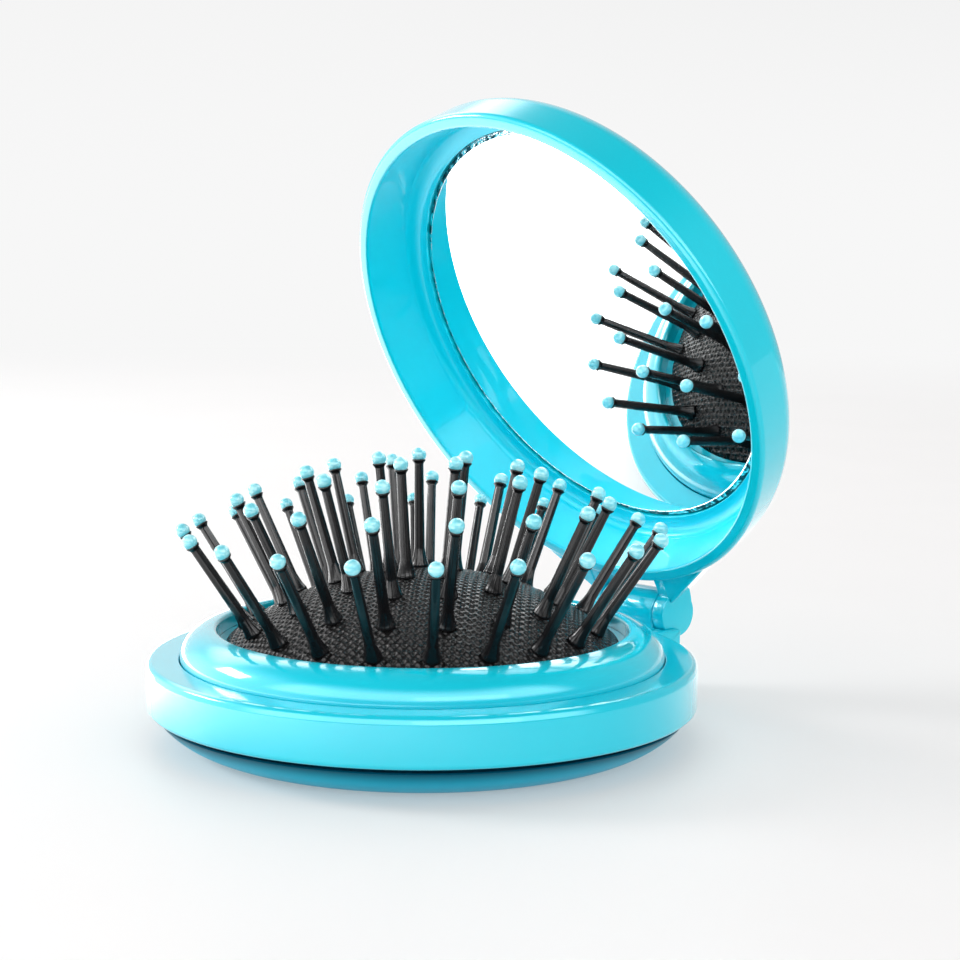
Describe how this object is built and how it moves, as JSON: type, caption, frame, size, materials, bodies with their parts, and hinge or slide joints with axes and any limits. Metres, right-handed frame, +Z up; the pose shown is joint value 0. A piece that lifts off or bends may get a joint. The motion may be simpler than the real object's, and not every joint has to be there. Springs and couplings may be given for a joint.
{
  "type": "folding hairbrush",
  "caption": "Folding pocket hairbrush in a round hinged case, with a pin cushion that is pushed up out of the base and a mirror in the lid.",
  "frame": {"origin": "centre of the circular foot ring, on the surface that the brush stands on", "axes": "+Z up along the axis of the base, +Y towards the hinge, +X along the hinge to the right seen from the front"},
  "size_m": [0.07, 0.0785, 0.081],
  "materials": {
    "shell": "glossy moulded turquoise",
    "cushion": "black rubber with a fine woven texture",
    "pin": "glossy moulded black",
    "pin_tip": "pale blue dipped tip, on the ball of each pin",
    "mirror": "silvered glass with a bevelled edge",
    "pad": "white adhesive tape",
    "hinge_pin": "drawn wire"
  },
  "bodies": {
    "base": {"base_shell": "shell", "bottom_cover": "shell", "bezel_ring": "shell", "hinge_pin": "hinge_pin"},
    "lid": {"lid_shell": "shell", "mirror": "mirror", "mirror_pad": "pad"},
    "brush_carrier": {"push_plate": "shell", "cushion_clamp": "shell", "cushion": "cushion"},
    "pin_outer_01_body": {"pin_outer_01": "pin"},
    "pin_outer_02_body": {"pin_outer_02": "pin"},
    "pin_outer_03_body": {"pin_outer_03": "pin"},
    "pin_outer_04_body": {"pin_outer_04": "pin"},
    "pin_outer_05_body": {"pin_outer_05": "pin"},
    "pin_outer_06_body": {"pin_outer_06": "pin"},
    "pin_outer_07_body": {"pin_outer_07": "pin"},
    "pin_outer_08_body": {"pin_outer_08": "pin"},
    "pin_outer_09_body": {"pin_outer_09": "pin"},
    "pin_outer_10_body": {"pin_outer_10": "pin"},
    "pin_outer_11_body": {"pin_outer_11": "pin"},
    "pin_outer_12_body": {"pin_outer_12": "pin"},
    "pin_outer_13_body": {"pin_outer_13": "pin"},
    "pin_outer_14_body": {"pin_outer_14": "pin"},
    "pin_outer_15_body": {"pin_outer_15": "pin"},
    "pin_outer_16_body": {"pin_outer_16": "pin"},
    "pin_outer_17_body": {"pin_outer_17": "pin"},
    "pin_outer_18_body": {"pin_outer_18": "pin"},
    "pin_outer_19_body": {"pin_outer_19": "pin"},
    "pin_outer_20_body": {"pin_outer_20": "pin"},
    "pin_second_01_body": {"pin_second_01": "pin"},
    "pin_second_02_body": {"pin_second_02": "pin"},
    "pin_second_03_body": {"pin_second_03": "pin"},
    "pin_second_04_body": {"pin_second_04": "pin"},
    "pin_second_05_body": {"pin_second_05": "pin"},
    "pin_second_06_body": {"pin_second_06": "pin"},
    "pin_second_07_body": {"pin_second_07": "pin"},
    "pin_second_08_body": {"pin_second_08": "pin"},
    "pin_second_09_body": {"pin_second_09": "pin"},
    "pin_second_10_body": {"pin_second_10": "pin"},
    "pin_second_11_body": {"pin_second_11": "pin"},
    "pin_second_12_body": {"pin_second_12": "pin"},
    "pin_second_13_body": {"pin_second_13": "pin"},
    "pin_second_14_body": {"pin_second_14": "pin"},
    "pin_second_15_body": {"pin_second_15": "pin"},
    "pin_third_01_body": {"pin_third_01": "pin"},
    "pin_third_02_body": {"pin_third_02": "pin"},
    "pin_third_03_body": {"pin_third_03": "pin"},
    "pin_third_04_body": {"pin_third_04": "pin"},
    "pin_third_05_body": {"pin_third_05": "pin"},
    "pin_third_06_body": {"pin_third_06": "pin"},
    "pin_third_07_body": {"pin_third_07": "pin"},
    "pin_third_08_body": {"pin_third_08": "pin"},
    "pin_third_09_body": {"pin_third_09": "pin"},
    "pin_third_10_body": {"pin_third_10": "pin"},
    "pin_inner_01_body": {"pin_inner_01": "pin"},
    "pin_inner_02_body": {"pin_inner_02": "pin"},
    "pin_inner_03_body": {"pin_inner_03": "pin"},
    "pin_inner_04_body": {"pin_inner_04": "pin"},
    "pin_inner_05_body": {"pin_inner_05": "pin"}
  },
  "joints": [
    {"name": "lid_close", "type": "hinge", "parent": "base", "child": "lid", "pos_m": [0, 0.04025, 0.0118], "axis": [-1, 0, 0], "range_deg": [-63.6, 0]},
    {"name": "cushion_slide", "type": "slide", "parent": "base", "child": "brush_carrier", "axis": [0, 0, 1], "range_m": [-0.0096, 0], "deforming": ["cushion"]},
    {"name": "pin_outer_01_tilt", "type": "hinge", "parent": "brush_carrier", "child": "pin_outer_01_body", "pos_m": [0.02535, -0.00084, 0.01354], "axis": [-0.0332, -0.9995, 0], "range_deg": [0, 34.05]},
    {"name": "pin_outer_02_tilt", "type": "hinge", "parent": "brush_carrier", "child": "pin_outer_02_body", "pos_m": [0.02437, 0.00703, 0.01354], "axis": [0.2773, -0.9608, 0], "range_deg": [0, 34.05]},
    {"name": "pin_outer_03_tilt", "type": "hinge", "parent": "brush_carrier", "child": "pin_outer_03_body", "pos_m": [0.021, 0.01422, 0.01354], "axis": [0.5606, -0.8281, 0], "range_deg": [0, 34.05]},
    {"name": "pin_outer_04_tilt", "type": "hinge", "parent": "brush_carrier", "child": "pin_outer_04_body", "pos_m": [0.01558, 0.02001, 0.01354], "axis": [0.7891, -0.6143, 0], "range_deg": [0, 34.05]},
    {"name": "pin_outer_05_tilt", "type": "hinge", "parent": "brush_carrier", "child": "pin_outer_05_body", "pos_m": [0.00863, 0.02385, 0.01354], "axis": [0.9403, -0.3404, 0], "range_deg": [0, 34.05]},
    {"name": "pin_outer_06_tilt", "type": "hinge", "parent": "brush_carrier", "child": "pin_outer_06_body", "pos_m": [0.00084, 0.02535, 0.01354], "axis": [0.9995, -0.0332, 0], "range_deg": [0, 34.05]},
    {"name": "pin_outer_07_tilt", "type": "hinge", "parent": "brush_carrier", "child": "pin_outer_07_body", "pos_m": [-0.00703, 0.02437, 0.01354], "axis": [0.9608, 0.2773, 0], "range_deg": [0, 34.05]},
    {"name": "pin_outer_08_tilt", "type": "hinge", "parent": "brush_carrier", "child": "pin_outer_08_body", "pos_m": [-0.01422, 0.021, 0.01354], "axis": [0.8281, 0.5606, 0], "range_deg": [0, 34.05]},
    {"name": "pin_outer_09_tilt", "type": "hinge", "parent": "brush_carrier", "child": "pin_outer_09_body", "pos_m": [-0.02001, 0.01558, 0.01354], "axis": [0.6143, 0.7891, 0], "range_deg": [0, 34.05]},
    {"name": "pin_outer_10_tilt", "type": "hinge", "parent": "brush_carrier", "child": "pin_outer_10_body", "pos_m": [-0.02385, 0.00863, 0.01354], "axis": [0.3404, 0.9403, 0], "range_deg": [0, 34.05]},
    {"name": "pin_outer_11_tilt", "type": "hinge", "parent": "brush_carrier", "child": "pin_outer_11_body", "pos_m": [-0.02535, 0.00084, 0.01354], "axis": [0.0332, 0.9995, 0], "range_deg": [0, 34.05]},
    {"name": "pin_outer_12_tilt", "type": "hinge", "parent": "brush_carrier", "child": "pin_outer_12_body", "pos_m": [-0.02437, -0.00703, 0.01354], "axis": [-0.2773, 0.9608, 0], "range_deg": [0, 34.05]},
    {"name": "pin_outer_13_tilt", "type": "hinge", "parent": "brush_carrier", "child": "pin_outer_13_body", "pos_m": [-0.021, -0.01422, 0.01354], "axis": [-0.5606, 0.8281, 0], "range_deg": [0, 34.05]},
    {"name": "pin_outer_14_tilt", "type": "hinge", "parent": "brush_carrier", "child": "pin_outer_14_body", "pos_m": [-0.01558, -0.02001, 0.01354], "axis": [-0.7891, 0.6143, 0], "range_deg": [0, 34.05]},
    {"name": "pin_outer_15_tilt", "type": "hinge", "parent": "brush_carrier", "child": "pin_outer_15_body", "pos_m": [-0.00863, -0.02385, 0.01354], "axis": [-0.9403, 0.3404, 0], "range_deg": [0, 34.05]},
    {"name": "pin_outer_16_tilt", "type": "hinge", "parent": "brush_carrier", "child": "pin_outer_16_body", "pos_m": [-0.00084, -0.02535, 0.01354], "axis": [-0.9995, 0.0332, 0], "range_deg": [0, 34.05]},
    {"name": "pin_outer_17_tilt", "type": "hinge", "parent": "brush_carrier", "child": "pin_outer_17_body", "pos_m": [0.00703, -0.02437, 0.01354], "axis": [-0.9608, -0.2773, 0], "range_deg": [0, 34.05]},
    {"name": "pin_outer_18_tilt", "type": "hinge", "parent": "brush_carrier", "child": "pin_outer_18_body", "pos_m": [0.01422, -0.021, 0.01354], "axis": [-0.8281, -0.5606, 0], "range_deg": [0, 34.05]},
    {"name": "pin_outer_19_tilt", "type": "hinge", "parent": "brush_carrier", "child": "pin_outer_19_body", "pos_m": [0.02001, -0.01558, 0.01354], "axis": [-0.6143, -0.7891, 0], "range_deg": [0, 34.05]},
    {"name": "pin_outer_20_tilt", "type": "hinge", "parent": "brush_carrier", "child": "pin_outer_20_body", "pos_m": [0.02385, -0.00863, 0.01354], "axis": [-0.3404, -0.9403, 0], "range_deg": [0, 34.05]},
    {"name": "pin_second_01_tilt", "type": "hinge", "parent": "brush_carrier", "child": "pin_second_01_body", "pos_m": [0.02652, 0.00796, 0.01497], "axis": [0.2874, -0.9578, 0], "range_deg": [0, 25.75]},
    {"name": "pin_second_02_tilt", "type": "hinge", "parent": "brush_carrier", "child": "pin_second_02_body", "pos_m": [0.02099, 0.01806, 0.01497], "axis": [0.6521, -0.7581, 0], "range_deg": [0, 25.75]},
    {"name": "pin_second_03_tilt", "type": "hinge", "parent": "brush_carrier", "child": "pin_second_03_body", "pos_m": [0.01183, 0.02504, 0.01497], "axis": [0.9041, -0.4274, 0], "range_deg": [0, 25.75]},
    {"name": "pin_second_04_tilt", "type": "hinge", "parent": "brush_carrier", "child": "pin_second_04_body", "pos_m": [0.00063, 0.02768, 0.01497], "axis": [0.9997, -0.0227, 0], "range_deg": [0, 25.75]},
    {"name": "pin_second_05_tilt", "type": "hinge", "parent": "brush_carrier", "child": "pin_second_05_body", "pos_m": [-0.01069, 0.02555, 0.01497], "axis": [0.9225, 0.3859, 0], "range_deg": [0, 25.75]},
    {"name": "pin_second_06_tilt", "type": "hinge", "parent": "brush_carrier", "child": "pin_second_06_body", "pos_m": [-0.02015, 0.01899, 0.01497], "axis": [0.6858, 0.7278, 0], "range_deg": [0, 25.75]},
    {"name": "pin_second_07_tilt", "type": "hinge", "parent": "brush_carrier", "child": "pin_second_07_body", "pos_m": [-0.02613, 0.00915, 0.01497], "axis": [0.3305, 0.9438, 0], "range_deg": [0, 25.75]},
    {"name": "pin_second_08_tilt", "type": "hinge", "parent": "brush_carrier", "child": "pin_second_08_body", "pos_m": [-0.0276, -0.00227, 0.01497], "axis": [-0.0819, 0.9966, 0], "range_deg": [0, 25.75]},
    {"name": "pin_second_09_tilt", "type": "hinge", "parent": "brush_carrier", "child": "pin_second_09_body", "pos_m": [-0.02429, -0.0133, 0.01497], "axis": [-0.4802, 0.8771, 0], "range_deg": [0, 25.75]},
    {"name": "pin_second_10_tilt", "type": "hinge", "parent": "brush_carrier", "child": "pin_second_10_body", "pos_m": [-0.01678, -0.02203, 0.01497], "axis": [-0.7955, 0.606, 0], "range_deg": [0, 25.75]},
    {"name": "pin_second_11_tilt", "type": "hinge", "parent": "brush_carrier", "child": "pin_second_11_body", "pos_m": [-0.00637, -0.02695, 0.01497], "axis": [-0.9732, 0.23, 0], "range_deg": [0, 25.75]},
    {"name": "pin_second_12_tilt", "type": "hinge", "parent": "brush_carrier", "child": "pin_second_12_body", "pos_m": [0.00514, -0.02721, 0.01497], "axis": [-0.9826, -0.1857, 0], "range_deg": [0, 25.75]},
    {"name": "pin_second_13_tilt", "type": "hinge", "parent": "brush_carrier", "child": "pin_second_13_body", "pos_m": [0.01576, -0.02277, 0.01497], "axis": [-0.8221, -0.5693, 0], "range_deg": [0, 25.75]},
    {"name": "pin_second_14_tilt", "type": "hinge", "parent": "brush_carrier", "child": "pin_second_14_body", "pos_m": [0.02366, -0.01439, 0.01497], "axis": [-0.5195, -0.8545, 0], "range_deg": [0, 25.75]},
    {"name": "pin_second_15_tilt", "type": "hinge", "parent": "brush_carrier", "child": "pin_second_15_body", "pos_m": [0.02747, -0.00352, 0.01497], "axis": [-0.1271, -0.9919, 0], "range_deg": [0, 25.75]},
    {"name": "pin_third_01_tilt", "type": "hinge", "parent": "brush_carrier", "child": "pin_third_01_body", "pos_m": [0.03587, 0.00749, 0.01619], "axis": [0.2045, -0.9789, 0], "range_deg": [0, 15.89]},
    {"name": "pin_third_02_tilt", "type": "hinge", "parent": "brush_carrier", "child": "pin_third_02_body", "pos_m": [0.02461, 0.02714, 0.01619], "axis": [0.7408, -0.6717, 0], "range_deg": [0, 15.89]},
    {"name": "pin_third_03_tilt", "type": "hinge", "parent": "brush_carrier", "child": "pin_third_03_body", "pos_m": [0.00396, 0.03643, 0.01619], "axis": [0.9942, -0.108, 0], "range_deg": [0, 15.89]},
    {"name": "pin_third_04_tilt", "type": "hinge", "parent": "brush_carrier", "child": "pin_third_04_body", "pos_m": [-0.01821, 0.0318, 0.01619], "axis": [0.8678, 0.497, 0], "range_deg": [0, 15.89]},
    {"name": "pin_third_05_tilt", "type": "hinge", "parent": "brush_carrier", "child": "pin_third_05_body", "pos_m": [-0.03342, 0.01502, 0.01619], "axis": [0.4099, 0.9121, 0], "range_deg": [0, 15.89]},
    {"name": "pin_third_06_tilt", "type": "hinge", "parent": "brush_carrier", "child": "pin_third_06_body", "pos_m": [-0.03587, -0.00749, 0.01619], "axis": [-0.2045, 0.9789, 0], "range_deg": [0, 15.89]},
    {"name": "pin_third_07_tilt", "type": "hinge", "parent": "brush_carrier", "child": "pin_third_07_body", "pos_m": [-0.02461, -0.02714, 0.01619], "axis": [-0.7408, 0.6717, 0], "range_deg": [0, 15.89]},
    {"name": "pin_third_08_tilt", "type": "hinge", "parent": "brush_carrier", "child": "pin_third_08_body", "pos_m": [-0.00396, -0.03643, 0.01619], "axis": [-0.9942, 0.108, 0], "range_deg": [0, 15.89]},
    {"name": "pin_third_09_tilt", "type": "hinge", "parent": "brush_carrier", "child": "pin_third_09_body", "pos_m": [0.01821, -0.0318, 0.01619], "axis": [-0.8678, -0.497, 0], "range_deg": [0, 15.89]},
    {"name": "pin_third_10_tilt", "type": "hinge", "parent": "brush_carrier", "child": "pin_third_10_body", "pos_m": [0.03342, -0.01502, 0.01619], "axis": [-0.4099, -0.9121, 0], "range_deg": [0, 15.89]},
    {"name": "pin_inner_01_tilt", "type": "hinge", "parent": "brush_carrier", "child": "pin_inner_01_body", "pos_m": [0.08248, 0.00274, 0.01683], "axis": [0.0332, -0.9995, 0], "range_deg": [0, 6.21]},
    {"name": "pin_inner_02_tilt", "type": "hinge", "parent": "brush_carrier", "child": "pin_inner_02_body", "pos_m": [0.02288, 0.07928, 0.01683], "axis": [0.9608, -0.2773, 0], "range_deg": [0, 6.21]},
    {"name": "pin_inner_03_tilt", "type": "hinge", "parent": "brush_carrier", "child": "pin_inner_03_body", "pos_m": [-0.06833, 0.04626, 0.01683], "axis": [0.5606, 0.8281, 0], "range_deg": [0, 6.21]},
    {"name": "pin_inner_04_tilt", "type": "hinge", "parent": "brush_carrier", "child": "pin_inner_04_body", "pos_m": [-0.06512, -0.05069, 0.01683], "axis": [-0.6143, 0.7891, 0], "range_deg": [0, 6.21]},
    {"name": "pin_inner_05_tilt", "type": "hinge", "parent": "brush_carrier", "child": "pin_inner_05_body", "pos_m": [0.02809, -0.07759, 0.01683], "axis": [-0.9403, -0.3404, 0], "range_deg": [0, 6.21]}
  ],
  "couplings": [
    {"joint": "cushion_slide", "follows": "lid_close", "m_per_rad": 0.0086484},
    {"joint": "pin_outer_01_tilt", "follows": "lid_close", "ratio": -0.53519},
    {"joint": "pin_outer_02_tilt", "follows": "lid_close", "ratio": -0.53519},
    {"joint": "pin_outer_03_tilt", "follows": "lid_close", "ratio": -0.53519},
    {"joint": "pin_outer_04_tilt", "follows": "lid_close", "ratio": -0.53519},
    {"joint": "pin_outer_05_tilt", "follows": "lid_close", "ratio": -0.53519},
    {"joint": "pin_outer_06_tilt", "follows": "lid_close", "ratio": -0.53519},
    {"joint": "pin_outer_07_tilt", "follows": "lid_close", "ratio": -0.53519},
    {"joint": "pin_outer_08_tilt", "follows": "lid_close", "ratio": -0.53519},
    {"joint": "pin_outer_09_tilt", "follows": "lid_close", "ratio": -0.53519},
    {"joint": "pin_outer_10_tilt", "follows": "lid_close", "ratio": -0.53519},
    {"joint": "pin_outer_11_tilt", "follows": "lid_close", "ratio": -0.53519},
    {"joint": "pin_outer_12_tilt", "follows": "lid_close", "ratio": -0.53519},
    {"joint": "pin_outer_13_tilt", "follows": "lid_close", "ratio": -0.53519},
    {"joint": "pin_outer_14_tilt", "follows": "lid_close", "ratio": -0.53519},
    {"joint": "pin_outer_15_tilt", "follows": "lid_close", "ratio": -0.53519},
    {"joint": "pin_outer_16_tilt", "follows": "lid_close", "ratio": -0.53519},
    {"joint": "pin_outer_17_tilt", "follows": "lid_close", "ratio": -0.53519},
    {"joint": "pin_outer_18_tilt", "follows": "lid_close", "ratio": -0.53519},
    {"joint": "pin_outer_19_tilt", "follows": "lid_close", "ratio": -0.53519},
    {"joint": "pin_outer_20_tilt", "follows": "lid_close", "ratio": -0.53519},
    {"joint": "pin_second_01_tilt", "follows": "lid_close", "ratio": -0.40467},
    {"joint": "pin_second_02_tilt", "follows": "lid_close", "ratio": -0.40467},
    {"joint": "pin_second_03_tilt", "follows": "lid_close", "ratio": -0.40467},
    {"joint": "pin_second_04_tilt", "follows": "lid_close", "ratio": -0.40467},
    {"joint": "pin_second_05_tilt", "follows": "lid_close", "ratio": -0.40467},
    {"joint": "pin_second_06_tilt", "follows": "lid_close", "ratio": -0.40467},
    {"joint": "pin_second_07_tilt", "follows": "lid_close", "ratio": -0.40467},
    {"joint": "pin_second_08_tilt", "follows": "lid_close", "ratio": -0.40467},
    {"joint": "pin_second_09_tilt", "follows": "lid_close", "ratio": -0.40467},
    {"joint": "pin_second_10_tilt", "follows": "lid_close", "ratio": -0.40467},
    {"joint": "pin_second_11_tilt", "follows": "lid_close", "ratio": -0.40467},
    {"joint": "pin_second_12_tilt", "follows": "lid_close", "ratio": -0.40467},
    {"joint": "pin_second_13_tilt", "follows": "lid_close", "ratio": -0.40467},
    {"joint": "pin_second_14_tilt", "follows": "lid_close", "ratio": -0.40467},
    {"joint": "pin_second_15_tilt", "follows": "lid_close", "ratio": -0.40467},
    {"joint": "pin_third_01_tilt", "follows": "lid_close", "ratio": -0.24966},
    {"joint": "pin_third_02_tilt", "follows": "lid_close", "ratio": -0.24966},
    {"joint": "pin_third_03_tilt", "follows": "lid_close", "ratio": -0.24966},
    {"joint": "pin_third_04_tilt", "follows": "lid_close", "ratio": -0.24966},
    {"joint": "pin_third_05_tilt", "follows": "lid_close", "ratio": -0.24966},
    {"joint": "pin_third_06_tilt", "follows": "lid_close", "ratio": -0.24966},
    {"joint": "pin_third_07_tilt", "follows": "lid_close", "ratio": -0.24966},
    {"joint": "pin_third_08_tilt", "follows": "lid_close", "ratio": -0.24966},
    {"joint": "pin_third_09_tilt", "follows": "lid_close", "ratio": -0.24966},
    {"joint": "pin_third_10_tilt", "follows": "lid_close", "ratio": -0.24966},
    {"joint": "pin_inner_01_tilt", "follows": "lid_close", "ratio": -0.097423},
    {"joint": "pin_inner_02_tilt", "follows": "lid_close", "ratio": -0.097423},
    {"joint": "pin_inner_03_tilt", "follows": "lid_close", "ratio": -0.097423},
    {"joint": "pin_inner_04_tilt", "follows": "lid_close", "ratio": -0.097423},
    {"joint": "pin_inner_05_tilt", "follows": "lid_close", "ratio": -0.097423}
  ]
}
